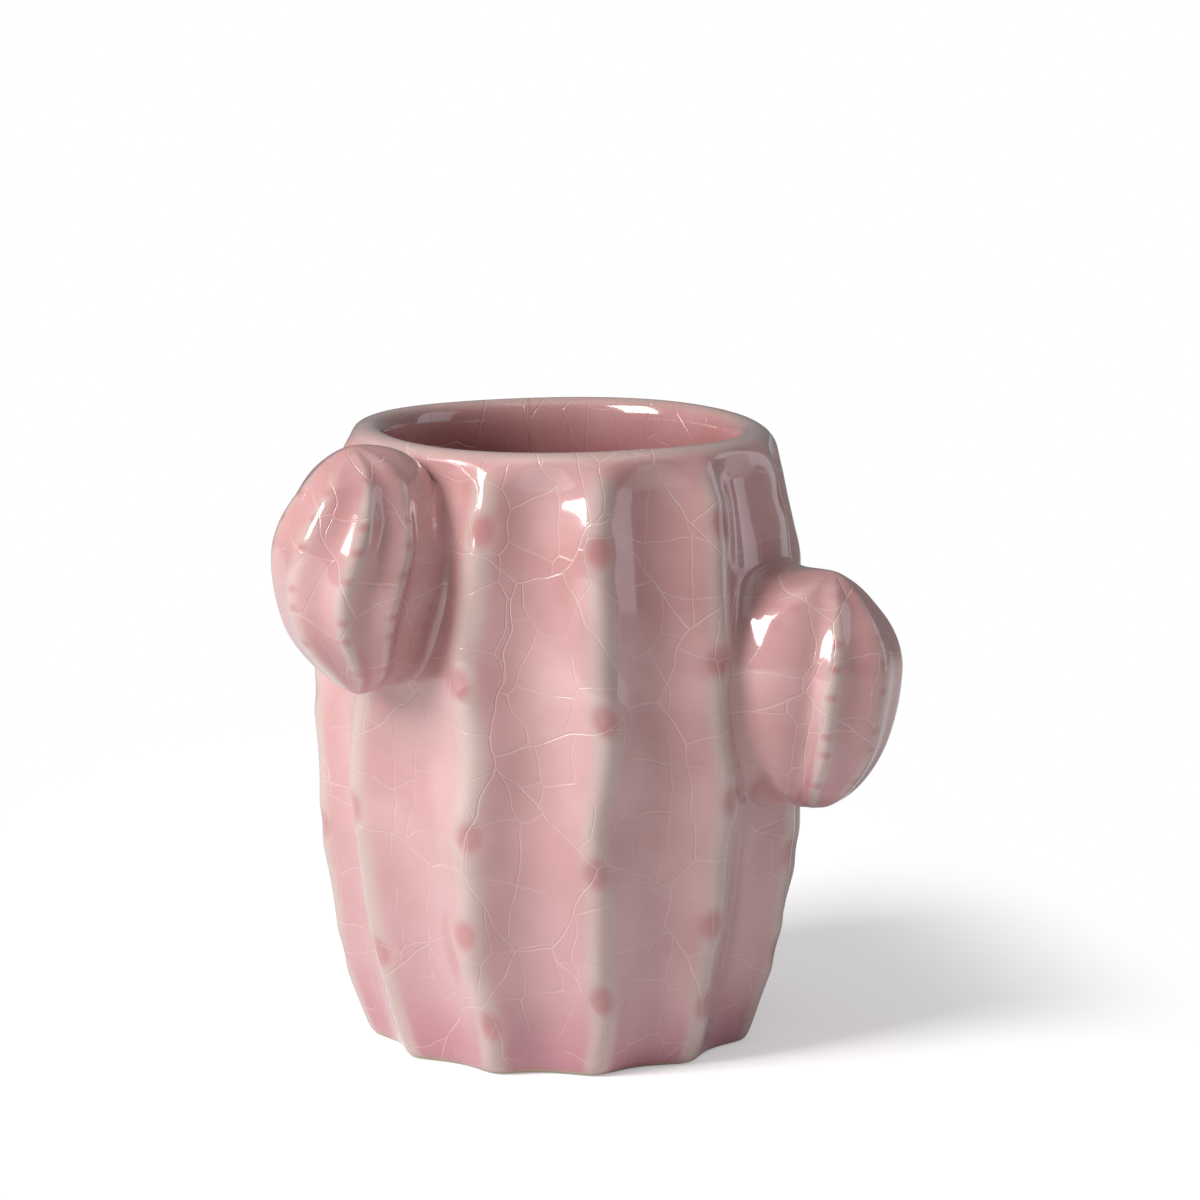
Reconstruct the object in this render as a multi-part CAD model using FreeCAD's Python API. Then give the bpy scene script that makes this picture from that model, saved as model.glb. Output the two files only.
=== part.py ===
"""Cactus-shaped ceramic toothbrush cup: a fluted casting with two ribbed arms luted on with slip.

Units are millimetres. +Z is up, the origin is the centre of the foot on the surface that the cup
stands on, and -Y is the front, half-way between the two arms.
"""

import FreeCAD, Part
import math
import os

# Cup, outside: radii are at the crests of the ribs, drops are measured down from the rim
CUP_HEIGHT = 115.0
FOOT_RADIUS = 36.4
HIP_RADIUS = 41.8
HIP_HEIGHT = 19.0
BELLY_RADIUS = 45.6
BELLY_HEIGHT = 50.0
CHEST_RADIUS = 45.4
CHEST_DROP = 38.0
SHOULDER_RADIUS = 44.2
SHOULDER_DROP = 22.0
WAIST_RADIUS = 42.2
WAIST_DROP = 12.0
RIM_BAND_RADIUS = 41.2
RIM_BAND = 7.0
RIM_RADIUS = 41.2
RIM_OUTER_ROUND = 3.4
RIM_INNER_ROUND = 3.0
FOOT_EDGE_ROUND = 0.8

# Flutes between the upright ribs
RIB_COUNT = 12
FLUTE_DEPTH = 3.6
FOOT_FLUTE_DEPTH = 2.6
WAIST_FLUTE_DEPTH = 2.6
RIM_BAND_FLUTE_DEPTH = 1.2
RIB_SOFTNESS = 0.30
POINTS_PER_RIB = 8

# Areoles, the pits along each rib where the glaze pools
AREOLE_RADIUS = 2.4
AREOLE_DEPTH = 0.7
AREOLE_FIRST_HEIGHT = 15.5
AREOLE_PITCH = 26.0
AREOLE_STAGGER = 12.0
AREOLE_MARGIN = 11.0

# Cup, inside and underneath
WALL = 5.2
FLOOR_THICKNESS = 6.0
FLOOR_CORNER_ROUND = 9.0
RIM_WIDTH = 8.6
FOOT_RING_WIDTH = 9.0
FOOT_RECESS_DEPTH = 1.5

# Arms: bearings turn from the front, a drop is from the rim to the arm's widest level, and a
# stand-off is from the cup's wall at that level to the arm's own axis
LEFT_ARM_BEARING = -55.0
RIGHT_ARM_BEARING = 55.0
LEFT_ARM_DROP = 19.0
RIGHT_ARM_DROP = 42.0
LEFT_ARM_LEAN = -2.0
RIGHT_ARM_LEAN = 4.0
LEFT_ARM_STANDOFF = 10.6
RIGHT_ARM_STANDOFF = 8.9
ARM_RADIUS = 13.6
ARM_BELOW_WIDEST = 25.0
ARM_ABOVE_WIDEST = 18.5
ARM_TOP_TAPER = 1.5
ARM_BOTTOM_TAPER = 1.5
ARM_RIB_COUNT = 8
ARM_FLUTE_DEPTH = 1.7
ARM_RIB_BEARING = -10.0
ARM_SECTIONS = 9

# Luting slip: a layer under each arm, wiped to a smooth collar that swells round the arm's root
SLIP_THICKNESS = 0.8
COLLAR_SHIFT = 5.5
COLLAR_END_INSET = 3.0

FRONT_ANGLE = -90.0
LOFT_DEGREE = 3
ORIGIN = FreeCAD.Vector(0, 0, 0)
UP = FreeCAD.Vector(0, 0, 1)


def direction(bearing):
    """The level unit vector that points outwards at a bearing from the front."""
    angle = math.radians(FRONT_ANGLE + bearing)
    return FreeCAD.Vector(math.cos(angle), math.sin(angle), 0)


def flute(phase):
    """0 on a rib's crest and 1 in the middle of a flute; phase is in ribs from a crest."""
    swing = math.sin(math.pi * phase)
    return (math.hypot(swing, RIB_SOFTNESS) - RIB_SOFTNESS) / (math.hypot(1, RIB_SOFTNESS) - RIB_SOFTNESS)


def ribbed_section(height, crest, depth, ribs):
    """A closed level section, one curve to a rib, with its first rib towards the front."""
    pitch = 360 / ribs
    curves = []
    for rib in range(ribs):
        points = []
        for step in range(POINTS_PER_RIB + 1):
            phase = step / POINTS_PER_RIB - 0.5
            outwards = direction((rib + phase) * pitch)
            points.append(outwards * (crest - depth * flute(phase)) + UP * height)
        start = UP.cross(direction((rib - 0.5) * pitch))
        end = UP.cross(direction((rib + 0.5) * pitch))
        curve = Part.BSplineCurve()
        curve.interpolate(Points=points, InitialTangent=start, FinalTangent=end)
        curves.append(curve.toShape())
    return Part.Wire(curves)


def loft(sections):
    """A solid through the sections, smooth from end to end."""
    return Part.makeLoft(sections, True, False, False, LOFT_DEGREE)


def cup_stations():
    """Height, crest radius and flute depth of the cup's sections, from the foot to the rim."""
    return (
        (0, FOOT_RADIUS, FOOT_FLUTE_DEPTH),
        (HIP_HEIGHT, HIP_RADIUS, FLUTE_DEPTH),
        (BELLY_HEIGHT, BELLY_RADIUS, FLUTE_DEPTH),
        (CUP_HEIGHT - CHEST_DROP, CHEST_RADIUS, FLUTE_DEPTH),
        (CUP_HEIGHT - SHOULDER_DROP, SHOULDER_RADIUS, FLUTE_DEPTH),
        (CUP_HEIGHT - WAIST_DROP, WAIST_RADIUS, WAIST_FLUTE_DEPTH),
        (CUP_HEIGHT - RIM_BAND, RIM_BAND_RADIUS, RIM_BAND_FLUTE_DEPTH),
        (CUP_HEIGHT, RIM_RADIUS, 0),
    )


def cup_form(growth=0.0):
    """The cup's outside as one solid, grown outwards by the given amount."""
    sections = []
    for height, crest, depth in cup_stations():
        sections.append(ribbed_section(height, crest + growth, depth, RIB_COUNT))
    return loft(sections)


def cavity():
    """The smooth round inside, a wall's thickness behind the flutes, turned about the cup's axis."""
    inset = FLUTE_DEPTH + WALL
    heel = HIP_RADIUS - inset
    mouth = RIM_RADIUS - RIM_WIDTH
    corner = FLOOR_CORNER_ROUND * (1 - math.sqrt(0.5))

    def at(radius, height):
        return FreeCAD.Vector(radius, 0, height)

    floor_centre = at(0, FLOOR_THICKNESS)
    floor_edge = at(heel - FLOOR_CORNER_ROUND, FLOOR_THICKNESS)
    corner_middle = at(heel - corner, FLOOR_THICKNESS + corner)
    corner_top = at(heel, FLOOR_THICKNESS + FLOOR_CORNER_ROUND)
    belly = at(BELLY_RADIUS - inset, BELLY_HEIGHT)
    chest = at(CHEST_RADIUS - inset, CUP_HEIGHT - CHEST_DROP)
    shoulder = at(SHOULDER_RADIUS - inset, CUP_HEIGHT - SHOULDER_DROP)
    mouth_low = at(mouth, CUP_HEIGHT - RIM_BAND)
    mouth_top = at(mouth, CUP_HEIGHT)
    axis_top = at(0, CUP_HEIGHT)
    side = Part.BSplineCurve()
    side_points = (corner_top, belly, chest, shoulder, mouth_low)
    side.interpolate(Points=side_points, InitialTangent=UP, FinalTangent=UP)
    outline = (
        Part.LineSegment(floor_centre, floor_edge),
        Part.Arc(floor_edge, corner_middle, corner_top),
        side,
        Part.LineSegment(mouth_low, mouth_top),
        Part.LineSegment(mouth_top, axis_top),
        Part.LineSegment(axis_top, floor_centre),
    )
    face = Part.Face(Part.Wire([edge.toShape() for edge in outline]))
    return face.revolve(ORIGIN, UP, 360)


def level_edges(shape, height):
    """The edges of a shape that lie at one height."""
    edges = []
    for edge in shape.Edges:
        box = edge.BoundBox
        if abs(box.ZMin - height) < 0.01 and abs(box.ZMax - height) < 0.01:
            edges.append(edge)
    return edges


def edge_length(edge):
    """An edge's length, to sort edges by."""
    return edge.Length


def wall_radius(form, bearing, height):
    """How far the cup's outside reaches from its axis along one bearing, at one height."""
    start = UP * height
    ray = Part.LineSegment(start, start + direction(bearing) * 2 * BELLY_RADIUS).toShape()
    return form.common(ray).Length


def areoles(form):
    """Shallow round pits along the crests, with every other rib's row set higher."""
    ball_radius = (AREOLE_RADIUS ** 2 + AREOLE_DEPTH ** 2) / (2 * AREOLE_DEPTH)
    pits = []
    for rib in range(RIB_COUNT):
        bearing = 360 * rib / RIB_COUNT
        height = AREOLE_FIRST_HEIGHT + AREOLE_STAGGER * (rib % 2)
        while height < CUP_HEIGHT - AREOLE_MARGIN:
            reach = wall_radius(form, bearing, height) + ball_radius - AREOLE_DEPTH
            pits.append(Part.makeSphere(ball_radius, direction(bearing) * reach + UP * height))
            height += AREOLE_PITCH
    return pits


def make_cup_body(form):
    """The fluted casting, hollowed, with a rounded rim, a foot ring and its areoles."""
    cup = form.cut(cavity())
    rim_outside = sorted(level_edges(cup, CUP_HEIGHT), key=edge_length)[:RIB_COUNT]
    cup = cup.makeFillet(RIM_OUTER_ROUND, rim_outside)
    rim_inside = max(level_edges(cup, CUP_HEIGHT), key=edge_length)
    cup = cup.makeFillet(RIM_INNER_ROUND, [rim_inside])
    cup = cup.makeFillet(FOOT_EDGE_ROUND, level_edges(cup, 0))
    recess_radius = FOOT_RADIUS - FOOT_FLUTE_DEPTH - FOOT_RING_WIDTH
    cup = cup.cut(Part.makeCylinder(recess_radius, FOOT_RECESS_DEPTH))
    return cup.cut(areoles(form))


def bud(radius, flute_depth, below, above):
    """An upright bud about its widest level, drawn in to a point at both ends."""
    profiles = [Part.Vertex(0, 0, -below)]
    for step in range(1, ARM_SECTIONS + 1):
        turn = math.pi * (step / (ARM_SECTIONS + 1) - 0.5)
        length, taper = (above, ARM_TOP_TAPER) if turn > 0 else (below, ARM_BOTTOM_TAPER)
        full = math.cos(turn) ** taper
        level = length * math.sin(turn)
        profiles.append(ribbed_section(level, radius * full, flute_depth * full, ARM_RIB_COUNT))
    profiles.append(Part.Vertex(0, 0, above))
    return loft(profiles)


def stood(shape, bearing, reach, height, lean):
    """A bud stood beside the cup, leaning outwards at its top by the given angle."""
    outwards = direction(bearing)
    shape.rotate(ORIGIN, UP, ARM_RIB_BEARING)
    shape.rotate(ORIGIN, UP.cross(outwards), lean)
    shape.translate(outwards * reach + UP * height)
    return shape


def make_arm(form, bearing, standoff, drop, lean):
    """An arm seated on its slip, and the slip collar that fills the seat and the root below the rim."""
    height = CUP_HEIGHT - drop
    reach = wall_radius(form, bearing, height) + standoff
    arm = bud(ARM_RADIUS, ARM_FLUTE_DEPTH, ARM_BELOW_WIDEST, ARM_ABOVE_WIDEST)
    arm = stood(arm, bearing, reach, height, lean).cut(cup_form(SLIP_THICKNESS))
    collar = bud(ARM_RADIUS, 0, ARM_BELOW_WIDEST - COLLAR_END_INSET, ARM_ABOVE_WIDEST - COLLAR_END_INSET)
    collar = stood(collar, bearing, reach - COLLAR_SHIFT, height, lean).cut([form, arm])
    span = 4 * reach
    corner = FreeCAD.Vector(-span / 2, -span / 2, CUP_HEIGHT - RIM_OUTER_ROUND)
    return arm, collar.cut(Part.makeBox(span, span, span, corner))


if __name__ == "__main__":
    os.makedirs("parts", exist_ok=True)
    cup_outside = cup_form()
    left_arm, left_collar = make_arm(
        cup_outside, LEFT_ARM_BEARING, LEFT_ARM_STANDOFF, LEFT_ARM_DROP, LEFT_ARM_LEAN
    )
    right_arm, right_collar = make_arm(
        cup_outside, RIGHT_ARM_BEARING, RIGHT_ARM_STANDOFF, RIGHT_ARM_DROP, RIGHT_ARM_LEAN
    )
    nodes = {
        "cup_body": make_cup_body(cup_outside),
        "left_arm": left_arm,
        "right_arm": right_arm,
        "left_arm_slip_collar": left_collar,
        "right_arm_slip_collar": right_collar,
    }
    for name, shape in nodes.items():
        print(name, "valid", shape.isValid(), "solids", len(shape.Solids), "volume", round(shape.Volume, 1))
        shape.exportStep("parts/" + name + ".step")
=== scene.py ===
import math

import bpy
import numpy as np
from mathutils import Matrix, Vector


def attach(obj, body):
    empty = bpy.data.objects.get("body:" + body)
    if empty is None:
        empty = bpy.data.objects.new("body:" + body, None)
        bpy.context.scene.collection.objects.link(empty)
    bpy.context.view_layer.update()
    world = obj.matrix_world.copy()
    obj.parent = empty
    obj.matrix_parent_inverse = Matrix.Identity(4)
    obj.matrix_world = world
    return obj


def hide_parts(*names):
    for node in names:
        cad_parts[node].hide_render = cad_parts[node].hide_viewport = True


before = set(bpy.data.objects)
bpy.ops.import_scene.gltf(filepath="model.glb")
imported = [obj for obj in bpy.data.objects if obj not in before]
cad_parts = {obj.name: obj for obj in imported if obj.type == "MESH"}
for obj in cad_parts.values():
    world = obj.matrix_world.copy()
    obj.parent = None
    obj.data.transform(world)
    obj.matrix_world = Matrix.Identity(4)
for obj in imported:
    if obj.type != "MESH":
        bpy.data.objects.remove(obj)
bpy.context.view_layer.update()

MM = 0.001

# Cup, in millimetres: heights, radii at the rib crests, and depths of the flutes between the ribs
WALL_HEIGHTS = np.array([0, 8, 19, 33, 50, 77, 93, 103, 108, 111.5, 113.4, 114.6, 115.2, 118])
CREST_RADII = np.array([36.4, 39.1, 41.8, 44.2, 45.6, 45.4, 44.2, 42.3, 41.3, 40.3, 39.0, 37.2, 35.2, 26.0])
FLUTE_HEIGHTS = np.array([0, 10, 19, 60, 95, 104, 109, 111.6, 113.4, 118])
FLUTE_DEPTHS = np.array([2.4, 3.5, 4.0, 4.0, 3.9, 3.7, 3.2, 1.8, 0.3, 0.0])
RIB_COUNT = 12
RIB_PITCH = 23.0
RIB_SOFTNESS = 0.30
# Sideways bow of each rib at half height, in degrees, from the front one towards the right
RIB_BOWS = np.array([-1.3, 0, 0, -5.0, 0.8, 0, -1.0, 0, 1.2, 0, -5.0, -2.2])
# Profile of the cup, each point a radius and a height
FOOT_PROFILE = ((0, 1.6), (13, 1.6), (23.8, 1.6), (25.4, 0.6), (27.0, 0.0), (31.0, 0.0), (34.6, 0.0), (36.2, 0.3))
WALL_START, WALL_END, WALL_STEPS = 2.2, 105.0, 33
SPIN_STEPS_PER_RIB = 7
RIM_PROFILE = ((41.3, 108.0), (40.95, 110.0), (40.2, 111.7), (39.0, 113.3), (37.4, 114.5), (35.6, 115.0),
               (34.0, 114.6), (33.0, 113.4), (32.6, 111.4), (32.6, 108.0))
INSIDE_PROFILE = ((33.1, 103.5), (35.2, 93.0), (36.5, 77.0), (36.8, 62.0), (36.6, 46.0), (35.6, 32.0),
                  (33.8, 20.0), (32.2, 12.6), (28.6, 8.0), (23.0, 6.1), (12.0, 6.0), (0, 6.0))

# Areoles: for each rib, from the front towards the right, the heights of its dimples
AREOLE_HEIGHTS = (
    (15.6, 40.0, 68.0, 97.7), (12.0, 28.0, 51.0, 77.0, 101.0), (18.0, 37.0, 103.0), (13.0, 33.0, 60.0, 86.0),
    (22.0, 47.0, 71.0, 99.0), (14.0, 39.0, 64.0, 92.0), (20.0, 44.0, 75.0, 101.0), (11.0, 35.0, 58.0, 88.0),
    (24.0, 52.0, 79.0, 102.0), (16.0, 41.0, 66.0, 95.0), (21.0, 48.0), (10.0, 27.5, 46.0, 74.0, 101.0),
)

# Half-widths across and up of an areole's swell and dimple, and how far each lifts or sinks the wall
SWELL_ACROSS, SWELL_UP, SWELL_LIFT = 4.6, 6.6, 0.75
DIMPLE_ACROSS, DIMPLE_UP, DIMPLE_DEPTH = 2.5, 3.1, 0.55
DIMPLE_EDGE = 1.3
AREOLE_STRAY = 0.9

# Arms: bearing from the front, reach from the cup's axis, height of the widest level and lean; half-width of the
# root, its depth below that level, its swing to the front, its fillet and the ring of wall that it rises from; the
# bud's length above and below, the taper and inward bend of its lower end, its deepest flute, and its ribs' twist
LEFT_ARM = {
    "bearing": -55.0, "reach": 53.0, "height": 96.0, "lean": -2.0,
    "neck": 11.2, "neck_below": 22.5, "swing": 0.0, "root": 4.0, "ring": 18.0,
    "above": 19.0, "below": 25.0, "taper": 0.68, "tail": 3.0,
    "groove": 0.8, "twist": (12.0, 0.0, -1.0, 8.0, 24.0),
}
RIGHT_ARM = {
    "bearing": 55.0, "reach": 53.0, "height": 73.0, "lean": 4.0,
    "neck": 14.1, "neck_below": 24.4, "swing": 1.5, "root": 6.0, "ring": 20.5,
    "above": 17.0, "below": 26.2, "taper": 0.47, "tail": 0.8,
    "groove": -0.6, "twist": (-4.0, 0.0, 0.0, 2.0, 4.0),
}
TWIST_LEVELS = np.array([-22.0, -14.0, -5.0, 2.0, 13.0])
ARM_RADIUS = 13.8
ARM_RIBS = 8
ARM_FLUTE = 2.1
ARM_RIB_SOFTNESS = 0.5
ARM_TOP_TAPER = 0.76
ARM_RIB_BEARING = -10.0
ARM_TUCK = 19.0
NECK_DEPTH = 13.0
NECK_SHIFT = 7.0
NECK_TAPER = 0.45
NECK_TOP_INSET = 0.6
RING_HEIGHT = 28.0
RING_TOP = 110.5
SEAT_DROP = 2.5
SEAT_DEPTH = 1.5
ROOT_DEPTH = 2.6
LEAST_SLOPE = 0.03
RIB_FILLET = 1.6
TIP_FILLET = 5.0
DOTS_PER_RIB, DOT_PITCH, LOWEST_DOT = 7, 5.6, -20.0
DOT_ACROSS, DOT_UP, DOT_EDGE = 1.3, 0.9, 1.2
LONGEST_RAY = 45.0
HALVINGS = 14

# Crackle, on the glaze laid flat
UNROLLED_CUP_RADIUS = 42
UNROLLED_ARM_START = 70

# Glaze and clay, with painted shade inside the cup and on the arms' necks and a painted highlight on the lip
PALE_PINK = (0.60, 0.35, 0.345, 1)
FULL_PINK = (0.53, 0.275, 0.27, 1)
LILAC_PINK = (0.56, 0.315, 0.345, 1)
FOOT_PINK = (0.45, 0.165, 0.22, 1)
# colour of pooled glaze, also used as painted shade on the arms' necks
POOLED_AND_SHADE_PINK = (0.47, 0.19, 0.195, 1)
# painted shade colour for the inside of the cup
INSIDE_SHADE_PINK = (0.30, 0.085, 0.085, 1)
RIB_CREAM = (0.53, 0.41, 0.375, 1)
CRAZE_LINE = (0.72, 0.54, 0.51, 1)
BARE_CLAY = (0.52, 0.40, 0.29, 1)

# Studio, in metres and degrees
WHITE = (1, 1, 1, 1)
FLOOR_GREY = (0.86, 0.86, 0.86, 1)
CAMERA_AZIMUTH = -10
CAMERA_ELEVATION = 12.04
CAMERA_DISTANCE = 0.8
CAMERA_TARGET = (0, 0, 0.0575)
AIM_RIGHT, AIM_UP = 0.0072, 0.0235
FOCAL_PIXELS, PICTURE_PIXELS = 4279, 1200
SENSOR_WIDTH = 36
LAMP_TARGET = (0, 0, 0.06)


def between(knots, values, at):
    """Values on a smooth curve through the knots."""
    slopes = np.gradient(values, knots)
    at = np.clip(at, knots[0], knots[-1])
    i = np.clip(np.searchsorted(knots, at) - 1, 0, len(knots) - 2)
    span = knots[i + 1] - knots[i]
    t = (at - knots[i]) / span
    rise = values[i + 1] - values[i]
    start, end = slopes[i] * span, slopes[i + 1] * span
    return values[i] + t * (start + t * (3 * rise - 2 * start - end + t * (start + end - 2 * rise)))


def eased(low, high, x):
    """0 below low, 1 above high, and a soft step in between."""
    t = np.clip((x - low) / (high - low), 0, 1)
    return t * t * (3 - 2 * t)


def flute_share(phase, softness=RIB_SOFTNESS):
    """0 on a crest, 1 in the middle of a flute."""
    return (np.hypot(np.sin(np.pi * phase), softness) - softness) / (math.hypot(1, softness) - softness)


def rib_sway(rib, height):
    """How far a hand-finished rib strays sideways, in degrees."""
    sway = 1.0 * np.sin(height / 8.6 + rib * 2.4) + 0.6 * np.sin(height / 4.3 + rib * 1.7)
    bow = RIB_BOWS[rib.astype(int)] * np.sin(np.pi * np.clip(height / 100, 0, 1))
    return (sway + bow) * eased(0, 12, height) * (1 - eased(104, 114, height))


def rib_phase(bearing, height):
    """Place across the ribs, in ribs from the front one, after the sway."""
    turn = 360 / RIB_COUNT
    low = np.floor(bearing / turn)
    share = eased(0, 1, bearing / turn - low)
    sway = (1 - share) * rib_sway(low % RIB_COUNT, height) + share * rib_sway((low + 1) % RIB_COUNT, height)
    return (bearing - sway) / turn


def areole_marks(bearing, height):
    """Swell and dimple of the areoles, each 0 to 1."""
    swell = np.zeros_like(height)
    dimple = np.zeros_like(height)
    phase = rib_phase(bearing, height)
    for rib, heights in enumerate(AREOLE_HEIGHTS):
        across = (phase - rib + RIB_COUNT / 2) % RIB_COUNT - RIB_COUNT / 2
        near = np.flatnonzero(np.abs(across) < 0.6)
        side = across[near] * RIB_PITCH
        for k, level in enumerate(heights):
            up = height[near] - level
            off = side - AREOLE_STRAY * math.sin(3.1 * k + 1.3 * rib)
            raised = np.exp(-(off / SWELL_ACROSS) ** 2 - (up / SWELL_UP) ** 2)
            pressed = np.exp(-((off / DIMPLE_ACROSS) ** 2 + (up / DIMPLE_UP) ** 2) ** DIMPLE_EDGE)
            swell[near] = np.maximum(swell[near], raised)
            dimple[near] = np.maximum(dimple[near], pressed)
    return swell, dimple


def wall_carving(bearing, height):
    """What the flutes, swells and dimples take from the crest radius."""
    swell, dimple = areole_marks(bearing, height)
    flute = flute_share(rib_phase(bearing, height))
    return between(FLUTE_HEIGHTS, FLUTE_DEPTHS, height) * flute - SWELL_LIFT * swell + DIMPLE_DEPTH * dimple


def wall_glaze(bearing, height):
    """How thin the glaze lies over the ribs, and how it pools in the dimples."""
    dimple = areole_marks(bearing, height)[1]
    flute = flute_share(rib_phase(bearing, height))
    thin = 1 - eased(0.03, 0.42, flute)
    return thin * (1 - eased(107, 114, height)), dimple


def rim_shift(bearing, height):
    """How far the hand-trimmed rim rises or falls."""
    turn = np.radians(bearing)
    return (0.35 * np.sin(turn - 2.2) + 0.25 * np.sin(3 * turn + 0.8) - 0.4) * eased(100, 114, height)


def bearing_of(x, y):
    return np.degrees(np.arctan2(x, -y)) % 360


def deselect():
    if bpy.context.object and bpy.context.object.mode != "OBJECT":
        bpy.ops.object.mode_set(mode="OBJECT")
    bpy.ops.object.select_all(action="DESELECT")


def named(name):
    piece = bpy.context.object
    piece.name = name
    piece.data.name = name
    return piece


def places(piece):
    flat = np.zeros(len(piece.data.vertices) * 3)
    piece.data.vertices.foreach_get("co", flat)
    return flat.reshape(-1, 3)


def put(piece, points):
    piece.data.vertices.foreach_set("co", points.ravel())
    piece.data.update()


def mark(piece, name, values):
    layer = piece.data.attributes.new(name, "FLOAT", "POINT")
    layer.data.foreach_set("value", values.astype(np.float32))


def unroll(piece, spread):
    """Notes where each point of a piece lies on its glaze laid flat."""
    layer = piece.data.attributes.new("unrolled", "FLOAT_VECTOR", "POINT")
    layer.data.foreach_set("vector", (spread * MM).astype(np.float32).ravel())


def throw_cup():
    """The cup as it leaves the wheel: a profile drawn out point by point and spun about the axis."""
    heights = np.linspace(WALL_START, WALL_END, WALL_STEPS)
    wall = [(float(between(WALL_HEIGHTS, CREST_RADII, h)), float(h)) for h in heights]
    profile = [*FOOT_PROFILE, *wall, *RIM_PROFILE, *INSIDE_PROFILE]
    deselect()
    bpy.ops.mesh.primitive_plane_add(size=MM, location=(0, 0, 0))
    cup = named("cup")
    bpy.ops.object.mode_set(mode="EDIT")
    bpy.ops.mesh.merge(type="CENTER")
    start = Vector((profile[0][0], 0, profile[0][1])) * MM
    bpy.ops.transform.translate(value=start)
    for (r0, z0), (r1, z1) in zip(profile, profile[1:]):
        step = ((r1 - r0) * MM, 0, (z1 - z0) * MM)
        bpy.ops.mesh.extrude_region_move(TRANSFORM_OT_translate={"value": step})
    bpy.ops.mesh.select_all(action="SELECT")
    bpy.ops.mesh.spin(steps=SPIN_STEPS_PER_RIB * RIB_COUNT, angle=2 * math.pi, center=(0, 0, 0), axis=(0, 0, 1))
    bpy.ops.mesh.select_all(action="SELECT")
    bpy.ops.mesh.remove_doubles(threshold=0.02 * MM)
    bpy.ops.mesh.normals_make_consistent(inside=False)
    bpy.ops.object.mode_set(mode="OBJECT")
    rounding = cup.modifiers.new("rounding", "SUBSURF")
    rounding.levels = rounding.render_levels = 2
    bpy.ops.object.modifier_apply(modifier="rounding")
    return cup


def carve_cup(cup):
    """Presses the flutes, swells and dimples into the outside, and marks where the glaze runs thin, where it pools,
    a painted highlight on the lip and painted shade inside.
    """
    flat = np.zeros(len(cup.data.vertices) * 3)
    cup.data.vertices.foreach_get("normal", flat)
    normal = flat.reshape(-1, 3)
    points = places(cup) / MM
    radius = np.hypot(points[:, 0], points[:, 1])
    height = points[:, 2]
    bearing = bearing_of(points[:, 0], points[:, 1])
    outward = (normal[:, :2] * points[:, :2]).sum(1) / np.maximum(radius, 0.01)
    side = eased(-0.05, 0.6, outward) * (radius > 30)
    foot = eased(29, 35.5, radius) * (height < 2.5)
    share = np.maximum(side, foot)
    on_wall = side * eased(3, 5, height) * (1 - eased(103, 107, height))
    formed = radius + on_wall * (between(WALL_HEIGHTS, CREST_RADII, height) - radius)
    carved = formed - share * wall_carving(bearing, np.maximum(height, 0))
    scale = np.where(radius > 0.01, carved / np.maximum(radius, 0.01), 1)
    points[:, :2] *= scale[:, None]
    points[:, 2] += rim_shift(bearing, height)
    put(cup, points * MM)
    round_cup = np.radians((bearing + 180) % 360 - 180) * UNROLLED_CUP_RADIUS
    unroll(cup, np.stack([round_cup, height, 0 * height], axis=1))
    thin, pool_and_shade = wall_glaze(bearing, height)
    # thin glaze on the rim's lip, made lighter still as a painted highlight where the light catches the rim
    lip_glaze_and_highlight = 0.75 * eased(111.5, 114.0, height) * eased(32.6, 33.6, radius)
    mark(cup, "thin", np.maximum(thin * share, lip_glaze_and_highlight))
    mark(cup, "pool_and_shade", pool_and_shade * share)
    mark(cup, "low", 1 - eased(2, 18, height))
    # painted shade: the inside wall and floor of the cup are marked to be darkened
    inner_wall = eased(0.0, 0.7, -outward) * (height > 5) * (radius < 38)
    inner_floor = (normal[:, 2] > 0.5) * (height < 40)
    mark(cup, "inside", inner_wall + inner_floor)


def arm_frame(arm):
    """Level, outward, sideways and upright directions of an arm."""
    bearing = math.radians(arm["bearing"])
    lean = math.radians(arm["lean"])
    level = np.array([math.sin(bearing), -math.cos(bearing), 0])
    side = np.array([math.cos(bearing), math.sin(bearing), 0])
    up = np.array([0, 0, 1.0])
    outward = level * math.cos(lean) - up * math.sin(lean)
    upright = up * math.cos(lean) + level * math.sin(lean)
    return level, outward, side, upright


def bud_gap(out, across, rise, below, above, low_power, high_power):
    """About how far a point lies outside a bud of radius 1, drawn in at both ends, in radii."""
    length = np.where(rise > 0, above, below)
    power = 1 / np.where(rise > 0, high_power, low_power)
    round_part = np.maximum(np.hypot(out, across), 0.02)
    return round_part ** power + (rise / length) ** 2 - 1, power * round_part ** (power - 1), 2 * rise / length ** 2


def softly(a, b, width):
    """The union of two gaps with a fillet, and the share of the second."""
    share = np.clip(0.5 + 0.5 * (a - b) / width, 0, 1)
    return a + (b - a) * share - width * share * (1 - share), share


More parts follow.
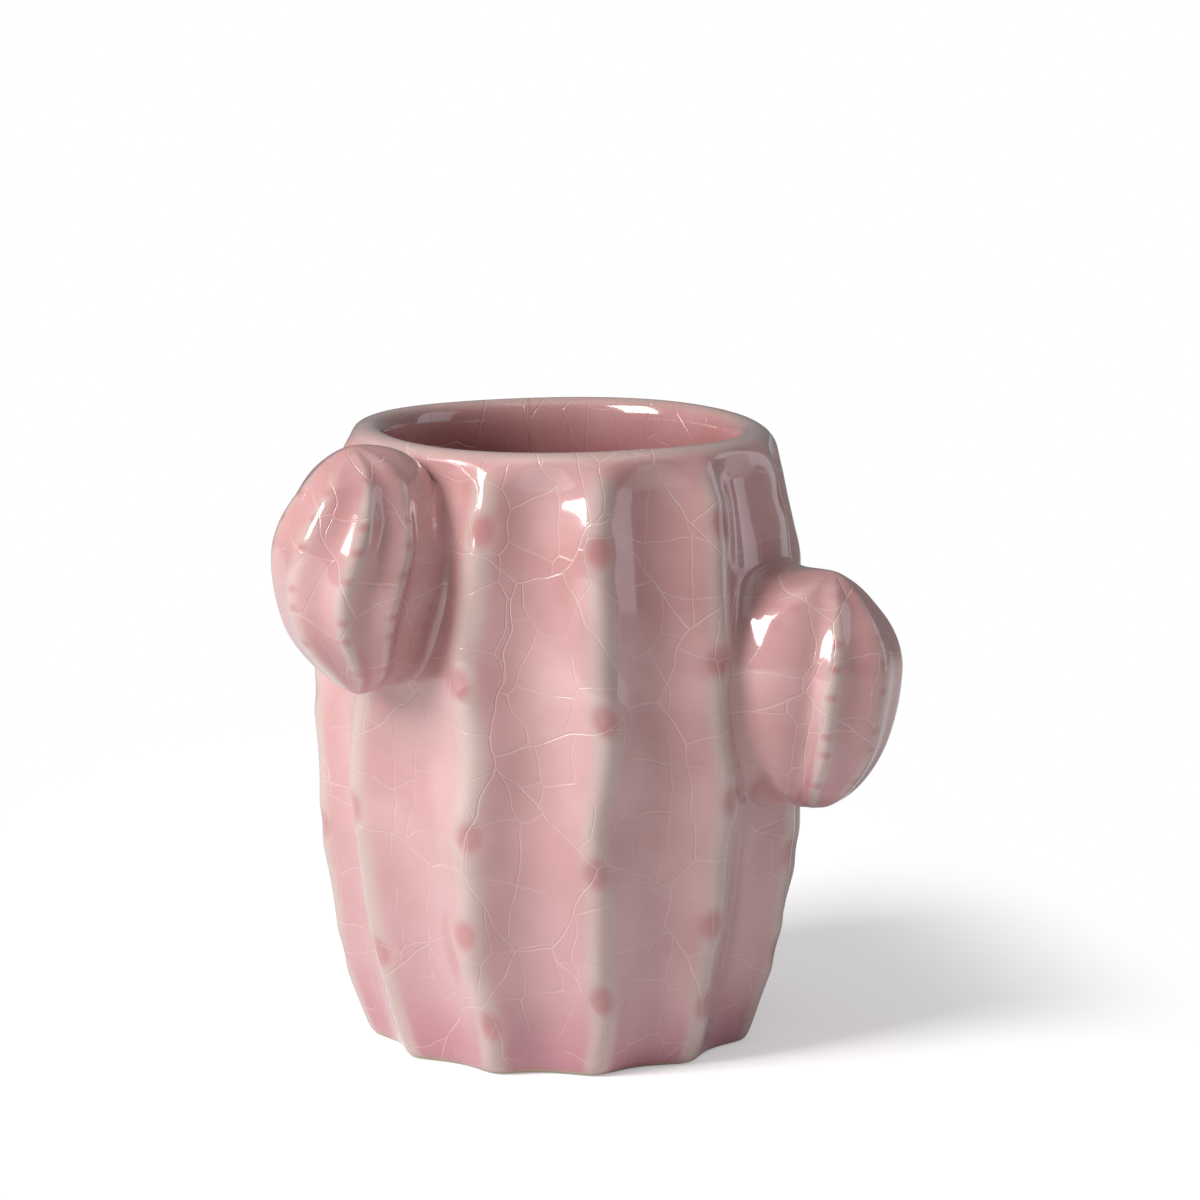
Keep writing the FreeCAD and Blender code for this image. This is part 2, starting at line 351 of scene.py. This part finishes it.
def arm_gap(points, arm, seat):
    """How far points lie outside the arm blended into the wall, with the glaze marks and the painted shade on the
    neck there.
    """
    level, outward, side, upright = arm_frame(arm)
    radius = np.hypot(points[:, 0], points[:, 1])
    bearing = bearing_of(points[:, 0], points[:, 1])
    height = points[:, 2] - rim_shift(bearing, points[:, 2])
    crest = between(WALL_HEIGHTS, CREST_RADII, height)
    up = height - seat[2]
    ring_height = np.where(up > 0, min(RING_HEIGHT, RING_TOP - seat[2]), RING_HEIGHT)
    ring = np.hypot(((points - seat) @ side + arm["swing"]) / arm["ring"], up / ring_height)
    wall = radius - crest + wall_carving(bearing, np.clip(height, 0, 118))
    sunk = wall + 0.05 + 0.9 * eased(0.58, 0.82, ring) + 9 * eased(0.9, 1.15, ring)
    centre = level * arm["reach"] + np.array([0, 0, arm["height"]])
    local = points - centre
    out, across, rise = local @ outward, local @ side, local @ upright
    out = out + arm["tail"] * eased(12, 27, -rise)
    twist = between(TWIST_LEVELS, np.array(arm["twist"]), rise)
    turn = np.degrees(np.arctan2(across, out)) + arm["bearing"] - ARM_RIB_BEARING - twist
    phase = turn * ARM_RIBS / 360
    flute = flute_share(phase, ARM_RIB_SOFTNESS)
    rib = np.round(phase) % ARM_RIBS
    deep = 0.4 + 0.6 * (0.5 + 0.5 * np.cos((phase - arm["groove"]) * 2 * math.pi / ARM_RIBS)) ** 4
    width = ARM_RADIUS - ARM_FLUTE * deep * flute
    depth = np.where(out < 0, width * ARM_TUCK / ARM_RADIUS, width)
    gap, steep, climb = bud_gap(
        out / depth, across / width, rise, arm["below"], arm["above"], arm["taper"], ARM_TOP_TAPER)
    gap = gap / np.maximum(np.hypot(steep / width, climb), LEAST_SLOPE)
    full = np.clip(np.hypot(out, across) / ARM_RADIUS, 0, 1)
    neck, steep, climb = bud_gap(
        (out + NECK_SHIFT) / NECK_DEPTH, (across + arm["swing"]) / arm["neck"], rise,
        arm["neck_below"], arm["above"] - NECK_TOP_INSET, NECK_TAPER, NECK_TAPER)
    neck = neck / np.maximum(np.hypot(steep / NECK_DEPTH, climb), LEAST_SLOPE)
    rooted, at_neck = softly(sunk, neck, arm["root"])
    tip = np.maximum(eased(6, 16, rise), 0.5 * eased(14, 23, -rise))
    joined, at_arm = softly(rooted, gap, RIB_FILLET + TIP_FILLET * tip)
    dots = 0 * rise
    near = (phase - np.round(phase)) * ARM_RADIUS * full * 2 * math.pi / ARM_RIBS
    for k in range(DOTS_PER_RIB):
        dot_level = LOWEST_DOT + DOT_PITCH * k + 1.2 * math.sin(2.3 * k)
        off = (rise - dot_level - 0.8 * rib) / DOT_UP
        dots = np.maximum(dots, np.exp(-((near / DOT_ACROSS) ** 2 + off ** 2) ** DOT_EDGE))
    thin_wall, pool_wall = wall_glaze(bearing, height)
    strength = np.where(rib == 0, 1.0, 0.6)
    thin = strength * at_arm * (1 - eased(0.1, 0.55, flute)) * eased(0.1, 0.5, full)
    thin = thin + (1 - at_arm) * (1 - at_neck) * thin_wall
    pool_and_shade = at_arm * (0.75 * dots + 0.35 * flute * full * (1 - dots))
    pool_and_shade = pool_and_shade + (1 - at_arm) * (1 - at_neck) * pool_wall
    # painted shade: darkens the neck flank between the bud and the wall, where it faces away from the key light
    pool_and_shade = pool_and_shade + 0.3 * (1 - at_arm) * at_neck
    round_arm = np.radians(turn) * (3 + 9 * full) + UNROLLED_ARM_START
    spread = np.stack([round_arm, points[:, 2], 0 * turn], axis=1)
    low = 0.75 * at_arm * eased(6, 23, -rise)
    return np.maximum(joined, -wall - ROOT_DEPTH), thin, pool_and_shade, low, spread


def lute_arm(name, arm, nodes):
    """A bud drawn from a ball onto its own ribbed form and the fillet at its root, closed inside the wall."""
    level = arm_frame(arm)[0]
    seat_height = np.array([arm["height"] - SEAT_DROP])
    crest = between(WALL_HEIGHTS, CREST_RADII, seat_height)
    depth = crest - wall_carving(np.array([arm["bearing"] % 360]), seat_height) - SEAT_DEPTH
    seat = level * depth + np.array([0, 0, seat_height[0]])
    deselect()
    bpy.ops.mesh.primitive_ico_sphere_add(subdivisions=7, radius=MM, location=(0, 0, 0))
    piece = named(name)
    rays = places(piece) / MM
    rays /= np.linalg.norm(rays, axis=1)[:, None]

    def outside(reach):
        points = seat + rays * reach[:, None]
        return arm_gap(points, arm, seat)[0]

    low = np.zeros(len(rays))
    high = np.full(len(rays), LONGEST_RAY)
    found = np.zeros(len(rays), bool)
    for step in np.arange(1.0, LONGEST_RAY, 1.0):
        now = outside(np.full(len(rays), step)) > 0
        first = now & ~found
        high[first] = step
        low[~now & ~found] = step
        found |= now
    for _ in range(HALVINGS):
        middle = (low + high) / 2
        past = outside(middle) > 0
        high = np.where(past, middle, high)
        low = np.where(past, low, middle)
    points = seat + rays * ((low + high) / 2)[:, None]
    put(piece, points * MM)
    _, thin, pool_and_shade, low, spread = arm_gap(points, arm, seat)
    unroll(piece, spread)
    mark(piece, "thin", thin)
    mark(piece, "pool_and_shade", pool_and_shade)
    mark(piece, "low", low)
    mark(piece, "inside", 0 * thin)
    bpy.ops.object.mode_set(mode="EDIT")
    bpy.ops.mesh.select_all(action="SELECT")
    bpy.ops.mesh.normals_make_consistent(inside=False)
    bpy.ops.object.mode_set(mode="OBJECT")
    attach(piece, "root")
    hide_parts(*nodes)
    return piece


class Value:
    """A socket of a finish, with Python's operators on it."""

    def __init__(self, finish, socket):
        self.finish = finish
        self.socket = socket

    def maths(self, operation, a, b):
        return self.finish.node("ShaderNodeMath", {"operation": operation}, {0: a, 1: b})

    def __add__(self, other):
        return self.maths("ADD", self, other)

    def __radd__(self, other):
        return self.maths("ADD", other, self)

    def __sub__(self, other):
        return self.maths("SUBTRACT", self, other)

    def __rsub__(self, other):
        return self.maths("SUBTRACT", other, self)

    def __mul__(self, other):
        return self.maths("MULTIPLY", self, other)

    def __rmul__(self, other):
        return self.maths("MULTIPLY", other, self)


class Finish:
    """The nodes of a material or a world, added one by one."""

    def __init__(self, owner):
        owner.use_nodes = True
        self.owner = owner
        self.tree = owner.node_tree
        self.tree.nodes.clear()

    def node(self, kind, settings=None, sockets=None, output=0):
        made = self.tree.nodes.new(kind)
        for key, value in (settings or {}).items():
            setattr(made, key, value)
        for key, value in (sockets or {}).items():
            socket = made.inputs[key]
            if isinstance(value, Value):
                self.tree.links.new(value.socket, socket)
            else:
                socket.default_value = value
        return Value(self, made.outputs[output]) if made.outputs else made

    def eased(self, value, low, high, start=0.0, end=1.0):
        settings = {"interpolation_type": "SMOOTHSTEP"}
        sockets = {"Value": value, "From Min": low, "From Max": high, "To Min": start, "To Max": end}
        return self.node("ShaderNodeMapRange", settings, sockets)

    def mix(self, share, first, second):
        return self.node("ShaderNodeMix", {"data_type": "RGBA"}, {0: share, 6: first, 7: second}, 2)

    def vector(self, operation, first, second):
        return self.node("ShaderNodeVectorMath", {"operation": operation}, {0: first, 1: second})

    def attribute(self, name, output="Fac"):
        return self.node("ShaderNodeAttribute", {"attribute_name": name}, {}, output)


def pink_crackle_glaze():
    """Pink glaze over pale clay: thin and cream on the ribs, pooled in the hollows, crazed all over, with painted
    shade inside the cup and on the arms' necks and a painted highlight on the lip.
    """
    f = Finish(bpy.data.materials.new("pink_crackle_glaze"))
    place = f.node("ShaderNodeTexCoord", {}, {}, "Object")
    up = f.node("ShaderNodeSeparateXYZ", {}, {0: place}, "Z") * 1000
    thin = f.attribute("thin")
    pool_and_shade = f.attribute("pool_and_shade")
    inside = f.attribute("inside")
    clouds = {"Vector": place, "Scale": 55.0, "Detail": 3.0, "Roughness": 0.55}
    cloud = f.node("ShaderNodeTexNoise", {}, clouds, "Fac")
    streak_place = f.node("ShaderNodeMapping", {}, {"Vector": place, "Scale": (1.0, 1.0, 0.35)})
    streak = f.node("ShaderNodeTexNoise", {}, {"Vector": streak_place, "Scale": 120.0, "Detail": 2.0}, "Fac")

    flat = f.attribute("unrolled", "Vector")
    stray = f.node("ShaderNodeTexNoise", {}, {"Vector": flat, "Scale": 110.0, "Detail": 1.0}, "Color")
    sideways = f.vector("MULTIPLY", f.vector("SUBTRACT", stray, (0.5, 0.5, 0.5)), (0.004, 0.004, 0.0))
    bent = f.vector("ADD", flat, sideways)
    tall = f.vector("MULTIPLY", bent, (1.0, 0.72, 1.0))
    first = {"Vector": tall, "Scale": 60.0, "Randomness": 0.85}
    edge = {"voronoi_dimensions": "2D", "feature": "DISTANCE_TO_EDGE"}
    nearest = {"voronoi_dimensions": "2D", "feature": "F1"}
    craze = f.node("ShaderNodeTexVoronoi", edge, first, "Distance")
    cell = f.node("ShaderNodeTexVoronoi", nearest, first, "Color")
    shifted = f.vector("ADD", tall, f.vector("MULTIPLY", cell, (0.4, 0.4, 0.0)))
    second = {"Vector": shifted, "Scale": 125.0, "Randomness": 0.45}
    small_craze = f.node("ShaderNodeTexVoronoi", edge, second, "Distance")
    patches = f.node("ShaderNodeTexNoise", {}, {"Vector": place, "Scale": 70.0, "Detail": 1.0}, "Fac")
    shown = f.eased(patches, 0.32, 0.46)
    line = f.eased(craze, 0.003, 0.012, 1.0, 0.0)
    small_line = f.eased(small_craze, 0.005, 0.022, 1.0, 0.0) * shown
    lines = f.node("ShaderNodeMath", {"operation": "MAXIMUM"}, {0: line, 1: small_line * 0.75})

    pink = f.mix(f.eased(cloud, 0.32, 0.68), FULL_PINK, PALE_PINK)
    low = f.attribute("low") * (1 - thin)
    pink = f.mix(f.eased(up, 20.0, 62.0, 0.4, 0.0), pink, LILAC_PINK)
    pink = f.mix(low * 0.6, pink, FOOT_PINK)
    ridge = f.eased(thin + (streak - 0.5) * 0.6, 0.0, 1.1)
    glaze = f.mix(ridge * 0.85, pink, RIB_CREAM)
    # glaze pooled in the dimples and the arms' flutes, and painted shade on the arms' necks
    glaze = f.mix(f.eased(pool_and_shade, 0.05, 0.9) * 0.8, glaze, POOLED_AND_SHADE_PINK)
    # painted shade inside the cup, darkest deep down and lighter towards the rim, with the crackle lines fainter
    # there
    glaze = f.mix(inside * f.eased(up, 98.0, 112.0, 0.85, 0.3), glaze, INSIDE_SHADE_PINK)
    glaze = f.mix(lines * (0.36 - 0.24 * inside), glaze, CRAZE_LINE)
    ragged = f.node("ShaderNodeTexNoise", {}, {"Vector": place, "Scale": 60.0, "Detail": 3.0}, "Fac")
    bare = f.eased(up + (ragged - 0.5) * 1.6, 0.55, 0.95, 1.0, 0.0)
    colour = f.mix(bare, glaze, BARE_CLAY)

    relief = (cloud * 0.5 + streak * 0.25) * 0.10 - lines * 0.06
    bump = f.node("ShaderNodeBump", {}, {"Strength": 1.0, "Distance": 0.001, "Height": relief})
    shader = f.node("ShaderNodeBsdfPrincipled", {}, {
        "Base Color": colour, "Roughness": bare * 0.6 + 0.16, "Normal": bump,
        "Coat Weight": 1 - bare, "Coat Roughness": 0.03, "Coat IOR": 1.5, "IOR": 1.5,
    })
    f.node("ShaderNodeOutputMaterial", {}, {"Surface": shader})
    return f.owner


def studio():
    """A pale floor, a window-like key on the left, a dim panel on the right and the photograph's camera."""
    deselect()
    bpy.ops.mesh.primitive_plane_add(size=6, location=(0, 0, 0))
    floor = named("floor")
    f = Finish(bpy.data.materials.new("floor"))
    seen = f.node("ShaderNodeLightPath", {}, {}, "Is Camera Ray")
    matt = f.node("ShaderNodeBsdfDiffuse", {}, {"Color": FLOOR_GREY})
    lift = f.node("ShaderNodeEmission", {}, {"Color": WHITE, "Strength": 0.36})
    lifted = f.node("ShaderNodeAddShader", {}, {0: matt, 1: lift})
    near = f.node("ShaderNodeMixShader", {}, {0: seen, 1: matt, 2: lifted})
    white = f.node("ShaderNodeEmission", {}, {"Color": WHITE, "Strength": 1.0})
    place = f.node("ShaderNodeTexCoord", {}, {}, "Object")
    squeezed = f.vector("MULTIPLY", place, (1.6, 0.7, 1.0))
    away = f.node("ShaderNodeVectorMath", {"operation": "LENGTH"}, {0: squeezed}, "Value")
    far = f.eased(away, 0.11, 0.21) * seen
    both = f.node("ShaderNodeMixShader", {}, {0: far, 1: near, 2: white})
    f.node("ShaderNodeOutputMaterial", {}, {"Surface": both})
    floor.data.materials.append(f.owner)

    w = Finish(bpy.data.worlds.new("studio"))
    behind = w.node("ShaderNodeLightPath", {}, {}, "Is Camera Ray")
    fill = w.node("ShaderNodeBackground", {}, {"Color": WHITE, "Strength": 0.19})
    paper = w.node("ShaderNodeBackground", {}, {"Color": WHITE, "Strength": 1.0})
    sky = w.node("ShaderNodeMixShader", {}, {0: behind, 1: fill, 2: paper})
    w.node("ShaderNodeOutputWorld", {}, {"Surface": sky})
    bpy.context.scene.world = w.owner

    def lamp(name, bearing, elevation, distance, width, height, power, colour):
        """An area lamp, its bearing taken from the camera's towards the right."""
        a, e = math.radians(bearing + CAMERA_AZIMUTH), math.radians(elevation)
        away = Vector((math.sin(a) * math.cos(e), -math.cos(a) * math.cos(e), math.sin(e)))
        deselect()
        bpy.ops.object.light_add(type="AREA", location=Vector(LAMP_TARGET) + away * distance)
        light = bpy.context.object
        light.name = name
        light.rotation_euler = away.to_track_quat("Z", "Y").to_euler()
        light.data.shape = "RECTANGLE"
        light.data.size, light.data.size_y = width, height
        light.data.energy = power
        light.data.color = colour

    lamp("window", -57, 36, 1.0, 0.42, 0.6, 12.0, (1, 0.98, 0.97))
    lamp("ceiling", 0, 82, 1.1, 0.9, 0.9, 1.2, (1, 1, 1))
    lamp("panel", 96, 10, 0.9, 0.5, 0.9, 1.5, (0.93, 0.9, 1))

    azimuth, elevation = math.radians(CAMERA_AZIMUTH), math.radians(CAMERA_ELEVATION)
    target = Vector(CAMERA_TARGET)
    level = math.cos(elevation)
    back = Vector((math.sin(azimuth) * level, -math.cos(azimuth) * level, math.sin(elevation)))
    right = Vector((math.cos(azimuth), math.sin(azimuth), 0))
    over = back.cross(right)
    place = target + back * CAMERA_DISTANCE
    aim = target + right * AIM_RIGHT + over * AIM_UP
    deselect()
    bpy.ops.object.camera_add(location=place)
    camera = bpy.context.object
    camera.rotation_euler = (aim - place).to_track_quat("-Z", "Y").to_euler()
    camera.data.sensor_width = SENSOR_WIDTH
    camera.data.lens = SENSOR_WIDTH * FOCAL_PIXELS / PICTURE_PIXELS
    camera.data.clip_start, camera.data.clip_end = 0.01, 20
    bpy.context.scene.camera = camera
    bpy.context.scene.view_settings.view_transform = "Standard"


glaze = pink_crackle_glaze()
cup = throw_cup()
carve_cup(cup)
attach(cup, "root")
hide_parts("cup_body")
left_arm = lute_arm("left_bud", LEFT_ARM, ("left_arm", "left_arm_slip_collar"))
right_arm = lute_arm("right_bud", RIGHT_ARM, ("right_arm", "right_arm_slip_collar"))
for piece in (cup, left_arm, right_arm):
    piece.data.materials.append(glaze)
    deselect()
    piece.select_set(True)
    bpy.context.view_layer.objects.active = piece
    bpy.ops.object.shade_smooth()
studio()
